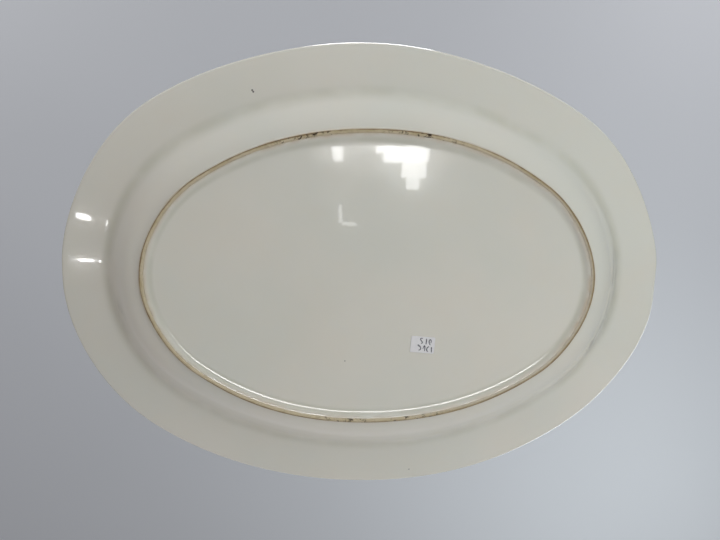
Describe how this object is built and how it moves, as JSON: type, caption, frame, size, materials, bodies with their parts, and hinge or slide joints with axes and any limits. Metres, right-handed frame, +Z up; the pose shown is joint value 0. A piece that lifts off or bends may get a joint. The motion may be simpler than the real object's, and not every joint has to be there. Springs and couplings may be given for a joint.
{
  "type": "oval serving platter",
  "caption": "Oval glazed china serving platter with a broad flange, a shallow well and a bare-edged foot ring, for serving food at table or for display.",
  "frame": {"origin": "middle of the foot ring's resting plane", "axes": "+Z up, away from the table, with the well facing up; +X along the oval; +Y across it"},
  "size_m": [0.406, 0.302, 0.0346],
  "materials": {
    "fired_clay": "bare fired clay, dry and slightly stained",
    "clear_cream_glaze": "glossy cream glaze",
    "base_cream_glaze": "glossy cream glaze",
    "label_glue": "thin yellowed glue",
    "label_paper": "matt white paper"
  },
  "bodies": {
    "root": {"platter_body": "fired_clay", "outer_glaze": "clear_cream_glaze", "base_glaze": "base_cream_glaze", "label_adhesive": "label_glue", "price_label": "label_paper"}
  },
  "joints": []
}
